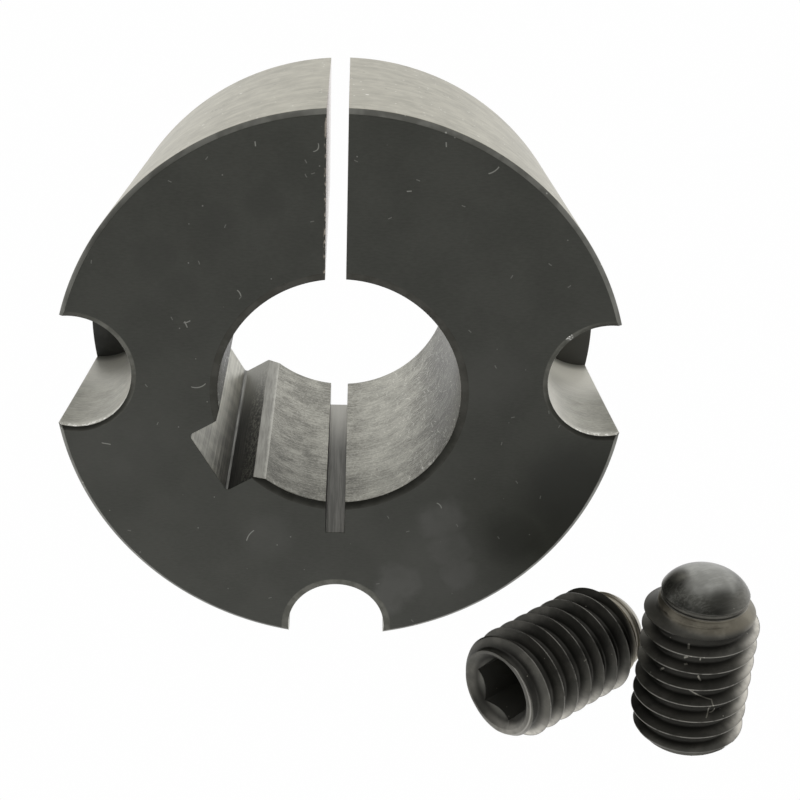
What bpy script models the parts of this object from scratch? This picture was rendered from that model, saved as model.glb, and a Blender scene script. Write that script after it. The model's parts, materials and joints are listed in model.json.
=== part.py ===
"""Taper lock bushing: a split, tapered bush and its two set screws, one upright and one lying beside it.

The bush stands on the rim of its large end and leans back onto its taper. Its own frame has the origin at the
centre of the large-end face, +Z out of that face and +Y towards the split. A set screw's own frame has the origin at
the centre of its socket end and +Z towards its domed point.
"""

from math import atan2, cos, pi, radians, sin, sqrt, tan

import bmesh
import bpy
from mathutils import Matrix, Vector

MM = 0.001

# Bush: the turned blank
LARGE_END_DIAMETER = 47.6 * MM
BUSH_LENGTH = 25.4 * MM
TAPER = radians(4.0)  # between the tapered surface and the axis
BORE_DIAMETER = 20.2 * MM  # for a 20 mm shaft, before the bush is clamped
RIM_CHAMFER = 0.4 * MM
BORE_CHAMFER = 0.65 * MM  # in radius
BORE_CHAMFER_DEPTH = 0.2 * MM

# Bush: the saw cuts, through at the top and part way into the wall at the bottom
SPLIT_WIDTH = 1.67 * MM
SPLIT_OFFSET = -0.39 * MM
RELIEF_WIDTH = 1.65 * MM
RELIEF_OFFSET = -0.19 * MM
RELIEF_DEPTH_LARGE_END = 2.9 * MM
RELIEF_DEPTH_SMALL_END = 2.4 * MM

# Bush: the keyway
KEYWAY_WIDTH = 6.0 * MM
KEYWAY_DEPTH = 2.7 * MM  # from the bore's wall to the floor, on the keyway's centre line
KEYWAY_DIRECTION = radians(210.4)  # from +X
KEYWAY_EDGE_BREAK = 0.5 * MM
KEYWAY_CORNER_RADIUS = 0.3 * MM  # where its walls meet its floor

# Bush: the half-round notches for the screws, open at the large end
NOTCH_DEPTH = 15.0 * MM
CLAMP_NOTCH_RADIUS = 4.94 * MM
CLAMP_NOTCH_CENTRE = 22.2 * MM  # from the bush's axis
CLAMP_NOTCH_RISE = radians(4.3)  # above the horizontal, towards the split
CLAMP_NOTCH_CHAMFER = 0.42 * MM  # in radius
JACKING_NOTCH_RADIUS = 4.27 * MM
JACKING_NOTCH_CENTRE = 22.6 * MM
JACKING_NOTCH_CHAMFER = 0.6 * MM
NOTCH_CHAMFER_DEPTH = 0.1 * MM

# Set screw: thread
THREAD_DIAMETER = 9.2 * MM
THREAD_PITCH = 1.5875 * MM
THREAD_DEPTH = 1.0165 * MM
THREAD_ANGLE = radians(55.0)

# Set screw: point, from the tip down
SCREW_LENGTH = 15.6 * MM
POINT_CLEARANCE = 0.1335 * MM  # of the point inside the thread's root
POINT_DIAMETER = THREAD_DIAMETER - 2 * (THREAD_DEPTH + POINT_CLEARANCE)
DOME_HEIGHT = 1.8 * MM
POINT_EDGE = 0.2 * MM  # straight edge of the point under the dome
NECK_STEP = 0.2 * MM  # of the neck inside the point
NECK_DIAMETER = POINT_DIAMETER - 2 * NECK_STEP
NECK_HEIGHT = 0.65 * MM
SHOULDER_LENGTH = 0.95 * MM  # cone between the neck and the thread's crest

# Set screw: socket end
END_CHAMFER = 0.83 * MM  # in radius, from the thread's crest
END_CHAMFER_LENGTH = 1.3 * MM
END_FACE_WIDTH = 0.42 * MM  # of the flat ring between the end chamfer and the socket's mouth
SOCKET_WALL = 1.1835 * MM  # between the thread's root and the socket's flats
SOCKET_ACROSS_FLATS = THREAD_DIAMETER - 2 * (THREAD_DEPTH + SOCKET_WALL)
SOCKET_DEPTH = 5.0 * MM
SOCKET_MOUTH_DIAMETER = THREAD_DIAMETER - 2 * (END_CHAMFER + END_FACE_WIDTH)
DRILL_POINT = 1.2 * MM
DRILL_CLEARANCE = 0.1 * MM  # between the drilled hole and the socket's flats

# Where the screws are, from the centre of the bush's large-end face, as seen from above
UPRIGHT_BESIDE_RIM = 5.35 * MM
UPRIGHT_IN_FRONT = 13.55 * MM
UPRIGHT_SPIN = radians(205.0)
LYING_DIRECTION = radians(40.9)  # from socket end to point, from +X
LYING_PAST_UPRIGHT = 13.1 * MM  # from the socket end to the place beside the upright screw
LYING_SPIN = radians(98.0)
SCREW_GAP = 0.2 * MM  # between the two screws' crests

# Fineness
BUSH_STEPS = 144
NOTCH_STEPS = 64
CORNER_STEPS = 3
SCREW_STEPS = 48
THREAD_STEPS = 32  # in one turn
DOME_STEPS = 6
CUT_OVERRUN = 2.0 * MM

PARTS = "taper_lock_bushing"
CUTTERS = "cutters"


def clear_scene():
    """Removes the objects that a new file starts with."""
    for thing in list(bpy.data.objects):
        bpy.data.objects.remove(thing, do_unlink=True)


def collection(name):
    """A new collection in the scene."""
    made = bpy.data.collections.new(name)
    bpy.context.scene.collection.children.link(made)
    return made


def material(name, colour, metallic, roughness):
    """A plain Principled material."""
    made = bpy.data.materials.new(name)
    made.use_nodes = True
    shader = made.node_tree.nodes["Principled BSDF"]
    shader.inputs["Base Color"].default_value = (*colour, 1.0)
    shader.inputs["Metallic"].default_value = metallic
    shader.inputs["Roughness"].default_value = roughness
    made.diffuse_color = (*colour, 1.0)
    return made


def new_object(name, mesh, group):
    """An object for a mesh, in the parts' or the cutters' collection."""
    made = bpy.data.objects.new(name, mesh)
    bpy.data.collections[group].objects.link(made)
    if group == CUTTERS:
        made.hide_render = True
        made.display_type = "WIRE"
    return made


def from_bmesh(name, bm, group):
    """An object for a bmesh, which is freed."""
    mesh = bpy.data.meshes.new(name)
    bm.to_mesh(mesh)
    bm.free()
    return new_object(name, mesh, group)


def turned(name, profile, steps, group, closed=False):
    """A profile of (radius, height) points, from top to bottom down its outer side, turned round the Z axis."""
    bm = bmesh.new()
    points = [bm.verts.new((radius, 0.0, height)) for radius, height in profile]
    for first, second in zip(points, points[1:]):
        bm.edges.new((first, second))
    if closed:
        bm.edges.new((points[-1], points[0]))
    made = from_bmesh(name, bm, group)
    lathe = made.modifiers.new("lathe", "SCREW")
    lathe.steps = steps
    lathe.render_steps = steps
    lathe.use_merge_vertices = True
    lathe.merge_threshold = 0.001 * MM
    lathe.use_smooth_shade = False
    return made


def block(name, low, high, group):
    """A box between two corners."""
    bm = bmesh.new()
    bmesh.ops.create_cube(bm, size=1.0)
    low, high = Vector(low), Vector(high)
    bmesh.ops.scale(bm, vec=high - low, verts=bm.verts)
    bmesh.ops.translate(bm, vec=(low + high) / 2, verts=bm.verts)
    return from_bmesh(name, bm, group)


def prism(name, outline, low, high, group):
    """A flat outline of (x, y) points, made solid between two heights."""
    drawing = bpy.data.curves.new(name, "CURVE")
    drawing.dimensions = "2D"
    drawing.fill_mode = "BOTH"
    drawing.extrude = (high - low) / 2
    line = drawing.splines.new("POLY")
    line.points.add(len(outline) - 1)
    for point, (x, y) in zip(line.points, outline):
        point.co = (x, y, 0.0, 1.0)
    line.use_cyclic_u = True
    drawn = new_object(name + "_outline", drawing, CUTTERS)
    mesh = evaluated_mesh(drawn)
    bpy.data.objects.remove(drawn, do_unlink=True)
    bm = bmesh.new()
    bm.from_mesh(mesh)
    bmesh.ops.remove_doubles(bm, verts=bm.verts, dist=0.001 * MM)
    bmesh.ops.translate(bm, vec=(0.0, 0.0, (low + high) / 2), verts=bm.verts)
    bmesh.ops.recalc_face_normals(bm, faces=bm.faces)
    return from_bmesh(name, bm, group)


def evaluated_mesh(thing):
    """A new mesh of an object as its modifiers leave it."""
    bpy.context.view_layer.update()
    return bpy.data.meshes.new_from_object(thing.evaluated_get(bpy.context.evaluated_depsgraph_get()))


def combine(thing, other, operation):
    """A Boolean of one object with another."""
    boolean = thing.modifiers.new(other.name, "BOOLEAN")
    boolean.operation = operation
    boolean.object = other
    boolean.solver = "EXACT"


def shade_round(mesh):
    """Smooth shading, apart from the edges over 30 degrees."""
    mesh.shade_smooth()
    mesh.set_sharp_from_angle(angle=radians(30.0))


def rim_radius(depth):
    """Radius of the tapered surface at a depth behind the large-end face."""
    return LARGE_END_DIAMETER / 2 - depth * tan(TAPER)


def bush_blank():
    """The turned bush: tapered outside, plain bore and a small chamfer on each of its four edges."""
    bore = BORE_DIAMETER / 2
    small_end = rim_radius(BUSH_LENGTH)
    profile = [
        (rim_radius(0.0) - RIM_CHAMFER, 0.0),
        (rim_radius(RIM_CHAMFER), -RIM_CHAMFER),
        (rim_radius(BUSH_LENGTH - RIM_CHAMFER), RIM_CHAMFER - BUSH_LENGTH),
        (small_end - RIM_CHAMFER, -BUSH_LENGTH),
        (bore + BORE_CHAMFER, -BUSH_LENGTH),
        (bore, BORE_CHAMFER_DEPTH - BUSH_LENGTH),
        (bore, -BORE_CHAMFER_DEPTH),
        (bore + BORE_CHAMFER, 0.0),
    ]
    return turned("bushing_blank", profile, BUSH_STEPS, CUTTERS, closed=True)


def split_cutter():
    """The saw cut through the wall at the top."""
    half = SPLIT_WIDTH / 2
    top = LARGE_END_DIAMETER / 2 + CUT_OVERRUN
    low = (SPLIT_OFFSET - half, 0.0, -BUSH_LENGTH - CUT_OVERRUN)
    high = (SPLIT_OFFSET + half, top, CUT_OVERRUN)
    return block("split_cutter", low, high, CUTTERS)


def relief_cutter():
    """The saw cut part way into the wall at the bottom, a little deeper at the large end."""
    half = RELIEF_WIDTH / 2
    bore = BORE_DIAMETER / 2
    slope = atan2(RELIEF_DEPTH_LARGE_END - RELIEF_DEPTH_SMALL_END, BUSH_LENGTH)
    low = (RELIEF_OFFSET - half, -bore - RELIEF_DEPTH_LARGE_END, -BUSH_LENGTH - CUT_OVERRUN)
    high = (RELIEF_OFFSET + half, 0.0, CUT_OVERRUN)
    cutter = block("relief_cutter", low, high, CUTTERS)
    floor_end = Vector((0.0, -bore - RELIEF_DEPTH_LARGE_END, 0.0))
    tilt = Matrix.Translation(floor_end) @ Matrix.Rotation(slope, 4, "X") @ Matrix.Translation(-floor_end)
    cutter.data.transform(tilt)
    return cutter


def keyway_cutter():
    """The keyway, with rounded corners on its floor and its two edges broken where its walls meet the bore."""
    half = KEYWAY_WIDTH / 2
    bore = BORE_DIAMETER / 2
    floor = bore + KEYWAY_DEPTH
    radius = KEYWAY_CORNER_RADIUS
    angles = [pi / 2 * step / CORNER_STEPS for step in range(CORNER_STEPS + 1)]
    corner = [(floor - radius * (1 - cos(angle)), half - radius * (1 - sin(angle))) for angle in angles]
    wall_end = sqrt(bore**2 - half**2) + KEYWAY_EDGE_BREAK
    flare = 2 * KEYWAY_EDGE_BREAK
    half_outline = corner + [
        (wall_end, half),
        (wall_end - flare, half + flare),
        (bore / 2, half + flare),
    ]
    outline = half_outline + [(x, -y) for x, y in reversed(half_outline)]
    cutter = prism("keyway_cutter", outline, -BUSH_LENGTH - CUT_OVERRUN, CUT_OVERRUN, CUTTERS)
    cutter.rotation_euler.z = KEYWAY_DIRECTION
    return cutter


def notch_cutter(name, radius, chamfer, centre, direction):
    """A flat-bottomed hole from the large end, with a shallow chamfer and its centre near the rim."""
    mouth = radius + 2 * chamfer
    profile = [
        (0.0, CUT_OVERRUN),
        (mouth, CUT_OVERRUN),
        (mouth, NOTCH_CHAMFER_DEPTH),
        (radius, -NOTCH_CHAMFER_DEPTH),
        (radius, -NOTCH_DEPTH),
        (0.0, -NOTCH_DEPTH),
    ]
    cutter = turned(name, profile, NOTCH_STEPS, CUTTERS)
    cutter.location = (centre * cos(direction), centre * sin(direction), 0.0)
    return cutter


def bushing_body(finish):
    """The split bush with its keyway and notches, in its own frame."""
    blank = bush_blank()
    cutters = [split_cutter(), relief_cutter(), keyway_cutter()]
    clamp = (CLAMP_NOTCH_RADIUS, CLAMP_NOTCH_CHAMFER, CLAMP_NOTCH_CENTRE)
    jacking = (JACKING_NOTCH_RADIUS, JACKING_NOTCH_CHAMFER, JACKING_NOTCH_CENTRE)
    cutters.append(notch_cutter("right_clamp_notch_cutter", *clamp, CLAMP_NOTCH_RISE))
    cutters.append(notch_cutter("left_clamp_notch_cutter", *clamp, pi - CLAMP_NOTCH_RISE))
    cutters.append(notch_cutter("jacking_notch_cutter", *jacking, -pi / 2))
    for cutter in cutters:
        combine(blank, cutter, "DIFFERENCE")
    mesh = evaluated_mesh(blank)
    mesh.name = "bushing_body"
    mesh.materials.append(finish)
    shade_round(mesh)
    return new_object("bushing_body", mesh, PARTS)


def lean_on_floor(body):
    """Stands the bush on the two corners of its jacking notch and leans it back onto its taper behind the notch."""
    front_depth = max(RIM_CHAMFER, NOTCH_CHAMFER_DEPTH)
    rim = rim_radius(front_depth)
    centre = JACKING_NOTCH_CENTRE
    front_drop = (rim**2 + centre**2 - JACKING_NOTCH_RADIUS**2) / (2 * centre)
    back_drop = rim_radius(NOTCH_DEPTH)
    lean = atan2(front_drop - back_drop, NOTCH_DEPTH - front_depth)
    body.rotation_euler.x = pi / 2 - lean
    body.location.z = front_drop * cos(lean) + front_depth * sin(lean)


def thread_profile():
    """One pitch of the thread, from root to root, as (radius, height) points."""
    crest = THREAD_DIAMETER / 2
    flank_height = THREAD_DEPTH * tan(THREAD_ANGLE / 2)
    flat = (THREAD_PITCH - 2 * flank_height) / 2
    rise = flat / 2
    fall = rise + flank_height + flat
    return [
        (crest - THREAD_DEPTH, 0.0),
        (crest - THREAD_DEPTH, rise),
        (crest, rise + flank_height),
        (crest, fall),
        (crest - THREAD_DEPTH, fall + flank_height),
        (crest - THREAD_DEPTH, THREAD_PITCH),
    ]


def threaded_rod():
    """A helical thread on its core, longer than the screw, with a cone on each end. Its seams miss the blank's."""
    turns = int(SCREW_LENGTH / THREAD_PITCH) + 4
    start = -2 * THREAD_PITCH
    bm = bmesh.new()
    points = [bm.verts.new((radius, 0.0, start + height)) for radius, height in thread_profile()]
    edges = [bm.edges.new(pair) for pair in zip(points, points[1:])]
    bmesh.ops.spin(
        bm,
        geom=points + edges,
        axis=(0.0, 0.0, 1.0),
        cent=(0.0, 0.0, 0.0),
        dvec=(0.0, 0.0, THREAD_PITCH / THREAD_STEPS),
        angle=2 * pi * turns,
        steps=THREAD_STEPS * turns,
    )
    bmesh.ops.remove_doubles(bm, verts=bm.verts, dist=0.001 * MM)
    middle = start + THREAD_PITCH * turns / 2
    for side in (-1, 1):
        rim = [e for e in bm.edges if e.is_boundary and side * (e.verts[0].co.z - middle) > 0]
        made = bmesh.ops.extrude_edge_only(bm, edges=rim)["geom"]
        tip = (0.0, 0.0, middle + side * (turns / 2 + 2) * THREAD_PITCH)
        bmesh.ops.pointmerge(bm, verts=[v for v in made if isinstance(v, bmesh.types.BMVert)], merge_co=tip)
    bmesh.ops.recalc_face_normals(bm, faces=bm.faces)
    off_the_seams = Matrix.Rotation(pi / (SCREW_STEPS * 3), 3, "Z")
    bmesh.ops.rotate(bm, cent=(0.0, 0.0, 0.0), matrix=off_the_seams, verts=bm.verts)
    return from_bmesh("threaded_rod", bm, CUTTERS)


def screw_blank():
    """The outer form of the set screw: domed point, neck, shoulder cone, body over the crests and end chamfer."""
    point = POINT_DIAMETER / 2
    neck = NECK_DIAMETER / 2
    crest = THREAD_DIAMETER / 2
    ball = (point**2 + DOME_HEIGHT**2) / (2 * DOME_HEIGHT)
    reach = atan2(point, ball - DOME_HEIGHT)
    angles = [reach * step / DOME_STEPS for step in range(DOME_STEPS + 1)]
    dome = [(ball * sin(angle), SCREW_LENGTH - ball * (1 - cos(angle))) for angle in angles]
    dome[0] = (0.0, SCREW_LENGTH)
    edge_foot = SCREW_LENGTH - DOME_HEIGHT - POINT_EDGE
    neck_foot = edge_foot - NECK_HEIGHT
    over = THREAD_DEPTH / 2  # the body stands clear of the crests, which the thread forms
    shoulder_over = over * SHOULDER_LENGTH / (crest - neck)
    end_over = over * END_CHAMFER_LENGTH / END_CHAMFER
    profile = dome + [
        (point, edge_foot),
        (neck, edge_foot),
        (neck, neck_foot),
        (crest + over, neck_foot - SHOULDER_LENGTH - shoulder_over),
        (crest + over, END_CHAMFER_LENGTH + end_over),
        (crest - END_CHAMFER, 0.0),
        (0.0, 0.0),
    ]
    return turned("screw_blank", profile, SCREW_STEPS, CUTTERS)


def socket_cutter():
    """The hexagon of the socket."""
    bm = bmesh.new()
    corner = SOCKET_ACROSS_FLATS / sqrt(3)
    height = SOCKET_DEPTH + CUT_OVERRUN
    bmesh.ops.create_cone(bm, cap_ends=True, segments=6, radius1=corner, radius2=corner, depth=height)
    bmesh.ops.translate(bm, vec=(0.0, 0.0, height / 2 - CUT_OVERRUN), verts=bm.verts)
    return from_bmesh("socket_cutter", bm, CUTTERS)


def drill_cutter():
    """The hole drilled before the hexagon was pressed, with its pointed end and countersunk mouth."""
    hole = SOCKET_ACROSS_FLATS / 2 - DRILL_CLEARANCE
    mouth = SOCKET_MOUTH_DIAMETER / 2
    profile = [
        (0.0, SOCKET_DEPTH + DRILL_POINT),
        (hole, SOCKET_DEPTH),
        (hole, mouth - hole),
        (mouth + CUT_OVERRUN, -CUT_OVERRUN),
        (0.0, -CUT_OVERRUN),
    ]
    return turned("drill_cutter", profile, SCREW_STEPS, CUTTERS)


def screw_mesh(finish):
    """The set screw: its outer form where the threaded rod fills it, less the socket."""
    blank = screw_blank()
    combine(blank, threaded_rod(), "INTERSECT")
    combine(blank, drill_cutter(), "DIFFERENCE")
    combine(blank, socket_cutter(), "DIFFERENCE")
    mesh = evaluated_mesh(blank)
    mesh.name = "set_screw"
    mesh.materials.append(finish)
    shade_round(mesh)
    return mesh


def upright_place():
    """Where the upright screw's socket end is centred on the floor."""
    return Vector((LARGE_END_DIAMETER / 2 + UPRIGHT_BESIDE_RIM, -UPRIGHT_IN_FRONT, 0.0))


def stand_screw(mesh):
    """The screw that stands on its socket end."""
    screw = new_object("set_screw_upright", mesh, PARTS)
    screw.location = upright_place()
    screw.rotation_euler.z = UPRIGHT_SPIN
    return screw


def lying_aside():
    """How far the lying screw's axis passes beside the upright one, with the last crest of one clear of the other."""
    crest = THREAD_DIAMETER / 2
    last_crest = SCREW_LENGTH - DOME_HEIGHT - POINT_EDGE - NECK_HEIGHT - SHOULDER_LENGTH
    short = max(LYING_PAST_UPRIGHT - last_crest, 0.0)
    return crest + sqrt(crest**2 - short**2) + SCREW_GAP


def lay_screw(mesh):
    """The screw that lies on its thread with its domed end beside the upright one."""
    along = Vector((cos(LYING_DIRECTION), sin(LYING_DIRECTION), 0.0))
    away = Vector((-along.y, along.x, 0.0))
    screw = new_object("set_screw_lying", mesh, PARTS)
    screw.location = upright_place() - along * LYING_PAST_UPRIGHT + away * lying_aside()
    screw.location.z = THREAD_DIAMETER / 2
    laid_down = Matrix.Rotation(pi / 2, 4, "Y") @ Matrix.Rotation(LYING_SPIN, 4, "Z")
    screw.rotation_euler = (Matrix.Rotation(LYING_DIRECTION, 4, "Z") @ laid_down).to_euler()
    return screw


def centre_on_floor(parts):
    """Carries the parts on an empty, so that the bottom centre of their box is the origin."""
    bpy.context.view_layer.update()
    corners = [part.matrix_world @ vertex.co for part in parts for vertex in part.data.vertices]
    low = [min(corner[axis] for corner in corners) for axis in range(3)]
    high = [max(corner[axis] for corner in corners) for axis in range(3)]
    carrier = new_object("set_centre", None, PARTS)
    carrier.location = (-(low[0] + high[0]) / 2, -(low[1] + high[1]) / 2, -low[2])
    for part in parts:
        part.parent = carrier


def main():
    clear_scene()
    collection(PARTS)
    collection(CUTTERS)
    phosphate = material("phosphated_iron", (0.052, 0.050, 0.046), 0.6, 0.6)
    black_oxide = material("black_oxide_steel", (0.030, 0.028, 0.026), 0.8, 0.42)
    body = bushing_body(phosphate)
    lean_on_floor(body)
    mesh = screw_mesh(black_oxide)
    centre_on_floor([body, stand_screw(mesh), lay_screw(mesh)])
    for cutter in list(bpy.data.collections[CUTTERS].objects):
        cutter.hide_set(True)


main()
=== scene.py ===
"""Looks of the taper lock bushing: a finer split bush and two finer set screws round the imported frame.

The bush is modelled in its own frame: the origin at the centre of its large-end face, +Z out of that
face and +Y towards the split. A set screw is modelled with its socket end on the origin and +Z towards
its domed point. Each is then put where its CAD node is, and its place is applied to its mesh.
"""

import json
from math import asin, atan2, cos, pi, radians, sin, sqrt, tan

import bmesh
import bpy
from mathutils import Matrix, Vector

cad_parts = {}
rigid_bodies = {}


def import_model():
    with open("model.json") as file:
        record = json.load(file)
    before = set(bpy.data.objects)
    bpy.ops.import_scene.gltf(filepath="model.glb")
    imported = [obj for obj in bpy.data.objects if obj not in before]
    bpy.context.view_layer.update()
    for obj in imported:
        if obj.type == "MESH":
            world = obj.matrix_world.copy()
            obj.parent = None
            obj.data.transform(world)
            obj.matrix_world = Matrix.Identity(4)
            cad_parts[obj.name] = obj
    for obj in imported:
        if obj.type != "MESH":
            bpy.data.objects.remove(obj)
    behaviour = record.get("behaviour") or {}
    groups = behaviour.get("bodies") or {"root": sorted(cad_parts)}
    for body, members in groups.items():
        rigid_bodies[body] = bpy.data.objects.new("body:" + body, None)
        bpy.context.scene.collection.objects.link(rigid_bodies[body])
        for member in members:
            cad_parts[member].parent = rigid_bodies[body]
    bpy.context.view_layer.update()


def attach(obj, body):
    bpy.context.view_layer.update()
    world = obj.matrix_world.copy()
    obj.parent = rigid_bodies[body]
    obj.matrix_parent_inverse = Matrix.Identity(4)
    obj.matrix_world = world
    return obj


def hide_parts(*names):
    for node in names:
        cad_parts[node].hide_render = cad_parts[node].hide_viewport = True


MM = 0.001
WELD = 0.0005 * MM  # points nearer than this are one point

# Bush
LARGE_END_RADIUS = 23.8 * MM
BUSH_LENGTH = 25.4 * MM
TAPER = radians(4.0)
BORE_RADIUS = 10.1 * MM
RIM_CHAMFER = 0.4 * MM
BORE_CHAMFER = (0.65 * MM, 0.2 * MM)  # in radius and in depth
SPLIT_WIDTH = 1.67 * MM
SPLIT_OFFSET = -0.42 * MM
SPLIT_ASKEW = radians(-0.2)  # the saw's wander from the axis
RELIEF_WIDTH = 1.65 * MM
RELIEF_OFFSET = -0.19 * MM
RELIEF_DEPTHS = (2.9 * MM, 2.4 * MM)  # below the bore, at the large and the small end
KEYWAY_HALF_WIDTH = 3.0 * MM
KEYWAY_DEPTH = 2.7 * MM
KEYWAY_DIRECTION = radians(210.4)
KEYWAY_EDGE_BREAK = 0.5 * MM
KEYWAY_CORNER_RADIUS = 0.3 * MM
NOTCH_DEPTH = 15.0 * MM
NOTCH_CHAMFER_DEPTH = 0.1 * MM
CLAMP_NOTCH = (4.94 * MM, 0.42 * MM, 22.2 * MM)  # radius, chamfer in radius and distance from the axis
CLAMP_NOTCH_RISE = radians(4.3)
JACKING_NOTCH = (4.27 * MM, 0.6 * MM, 22.6 * MM)
OVERRUN = 2.0 * MM  # of a cutter past what it cuts
BUSH_STEPS = 288
NOTCH_STEPS = 96
CORNER_STEPS = 6
BUSH_EASING = 0.05 * MM  # taken off its sharp edges

# Set screws
CREST = 4.6 * MM
PITCH = 1.5875 * MM
THREAD_DEPTH = 1.0165 * MM
CREST_BEVEL = 0.06 * MM
CREST_ROUNDING = 0.015 * MM  # taken off the thread's point by its bevel
ROOT_BEVEL = 0.12 * MM
SCREW_LENGTH = 15.6 * MM
POINT = 3.45 * MM
DOME_HEIGHT = 1.8 * MM
DOME_FULLNESS = 0.3  # from a ball's cap at 0 to half an ellipse at 1
POINT_EDGE = 0.2 * MM
NECK = 3.25 * MM
NECK_HEIGHT = 0.65 * MM
NECK_RING = 3.42 * MM  # radius of the raised ring on the neck
NECK_RING_ENDS = (0.15 * MM, 0.35 * MM)  # above the neck's foot
NECK_RING_SLOPE = 0.03 * MM
SHOULDER_LENGTH = 0.95 * MM
EDGE_FOOT = SCREW_LENGTH - DOME_HEIGHT - POINT_EDGE  # of the straight edge under the dome
NECK_FOOT = EDGE_FOOT - NECK_HEIGHT
CONE_FOOT = NECK_FOOT - SHOULDER_LENGTH  # where the thread ends
END_CHAMFER = (0.83 * MM, 1.3 * MM)  # in radius and in length
SOCKET_ACROSS_FLATS = 4.8 * MM
SOCKET_DEPTH = 5.0 * MM
SOCKET_MOUTH = 3.35 * MM
DRILL_POINT = 1.2 * MM
DRILL_CLEARANCE = 0.1 * MM  # between the drilled hole and the socket's flats
SCREW_STEPS = 96
DOME_STEPS = 18
LIP_STEPS = 5
SCREW_EASING = 0.04 * MM  # taken off its sharp edges

# Places in the row frame
LEAN = radians(2.541)
FACE_CENTRE = Vector((-5.084, -4.097, 23.394)) * MM
UPRIGHT_PLACE = Vector((24.066, -17.647, 0.0)) * MM
UPRIGHT_SPIN = radians(205.0)
LYING_DIRECTION = radians(40.9)
LYING_PAST_UPRIGHT = 13.1 * MM
LYING_SPIN = radians(98.0)
SCREW_GAP = 0.2 * MM

# Marks on the bush, in millimetres across and up from its axis: middle, radius and softness or strength
MARK_WANDER = 1.8
FINGER_SMUDGES = [
    ((9.0, -11.7), 2.6, 0.5),
    ((9.9, -14.6), 2.6, 0.5),
    ((10.6, -16.9), 2.2, 0.5),
    ((5.6, -18.0), 2.6, 0.45),
    ((4.3, -20.0), 2.0, 0.5),
]
PALE_PATCHES = [
    ((-6.0, -13.5), 3.0, 0.4),
    ((12.5, 2.0), 4.0, 0.3),
    ((9.5, -15.5), 5.5, 0.45),
    ((-19.0, -4.0), 7.0, 0.25),
]
DARK_STAINS = [
    ((-14.9, 11.7), 2.6, 0.6),
    ((-9.6, 14.9), 2.2, 0.6),
    ((-6.2, 16.4), 2.2, 0.6),
    ((-12.9, 9.3), 2.2, 0.6),
    ((20.0, -8.5), 6.5, 1.5),
    ((15.5, -13.0), 4.0, 1.0),
]
NOTCH_BURRS = [
    ((17.1, 4.9), 0.5),
    ((15.9, 3.4), 0.6),
    ((18.6, 5.6), 0.4),
]
TAPER_RUST = ((-10.6, -13.5), 1.2)  # across and along

# Hairs on the bush's face: middle in millimetres, length, direction and bend
FACE_HAIRS = [
    ((-11.6, 0.55), 1.3, 15.0, 0.5),
    ((-7.65, -13.4), 1.3, 58.0, -0.3),
    ((-12.4, 6.3), 0.6, 20.0, 0.5),
    ((-12.5, 6.1), 0.6, 110.0),
    ((-8.1, 8.9), 0.6, 120.0, 0.7),
    ((-1.9, 20.7), 0.8, 60.0, 1.4),
    ((-6.7, 21.0), 0.4, 95.0),
    ((11.7, 19.2), 1.0, 35.0, 0.4),
    ((5.2, 17.5), 0.4, 5.0),
    ((7.9, 21.2), 0.4, 95.0),
    ((8.8, -10.1), 0.7, 130.0, 0.8),
    ((-20.9, 5.2), 0.8, 75.0),
    ((-19.6, -4.8), 0.8, 170.0),
]

# Sides on which the screws are rubbed grey
UPRIGHT_RUBBED = Vector((1.0, 0.0, 0.0))
LYING_RUBBED = Vector((0.26, -0.35, -0.75))

# Painted dark reflections on the domes and lint on the screws, seen across, up and out of their front. A
# painted reflection has its middle, radius and strength, and a hair its middle in millimetres, length,
# direction, bend and width.
LINT_WAYS = (Vector((1.0, 0.0, 0.0)), Vector((0.0, 0.574, 0.819)), Vector((0.0, -0.819, 0.574)))
DOME_PAINTED_REFLECTIONS = [
    ((0.5, 10.2), 1.6, 0.8),
    ((-2.1, 12.5), 0.9, 0.35),
]
UPRIGHT_LINT = [
    ((-0.15, 3.0), 2.0, -23.0, 0.1),
    ((0.78, 2.4), 0.75, -78.0, 0.3),
    ((0.68, 1.6), 0.9, 70.0, 0.2),
    ((1.1, 1.75), 0.6, 35.0, 0.9),
    ((-0.4, 4.4), 0.5, -60.0, 0.3, 0.12),
    ((-1.56, 6.9), 0.45, 80.0, 0.0, 0.14),
    ((-1.58, 6.05), 0.3, 20.0, 0.0, 0.14),
    ((-0.53, 5.95), 0.3, 90.0),
    ((-1.6, 5.5), 0.28, 10.0, 0.0, 0.14),
    ((-3.03, 5.04), 0.35, 35.0, 0.0, 0.14),
    ((-4.2, 0.2), 1.0, -60.0),
]
LYING_LINT = [
    ((1.26, 5.85), 0.4, 60.0, 0.0, 0.2),
    ((2.1, 6.2), 0.4, -30.0),
    ((3.2, 5.5), 0.3, -40.0),
    ((5.2, 6.2), 0.3, 80.0),
    ((6.9, 6.2), 0.25, 20.0, 0.0, 0.14),
    ((7.1, 2.7), 0.3, 40.0),
    ((9.95, 4.7), 0.9, -65.0),
]

# Camera, fitted to the photograph
CAMERA_PLACE = Vector((-4.111, -120.648, 82.829)) * MM
CAMERA_RIGHT = Vector((0.999818, 0.013020, 0.013927))
CAMERA_UP = Vector((-0.018659, 0.518311, 0.854989))
CAMERA_FOCUS = 1574.3  # pixels
CAMERA_CENTRE = (342.57, 511.92)  # pixels
CAMERA_REACH = (0.01, 20.0)  # nearest and farthest that it sees, in metres
PICTURE = 800
SENSOR = 36.0

# Studio
FLOOR_SIZE = 4.0  # metres
FLOOR_DROP = 0.02 * MM  # below what stands on it


def only(thing=None):
    """Deselects everything, and selects and makes active one object, if one is given."""
    for other in bpy.context.view_layer.objects:
        other.select_set(False)
    bpy.context.view_layer.objects.active = thing
    if thing:
        thing.select_set(True)


def edit(on):
    """Goes into edit mode, with points to be selected, or out of it."""
    bpy.ops.object.mode_set(mode="EDIT" if on else "OBJECT")
    if on:
        bpy.ops.mesh.select_mode(type="VERT")


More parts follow.
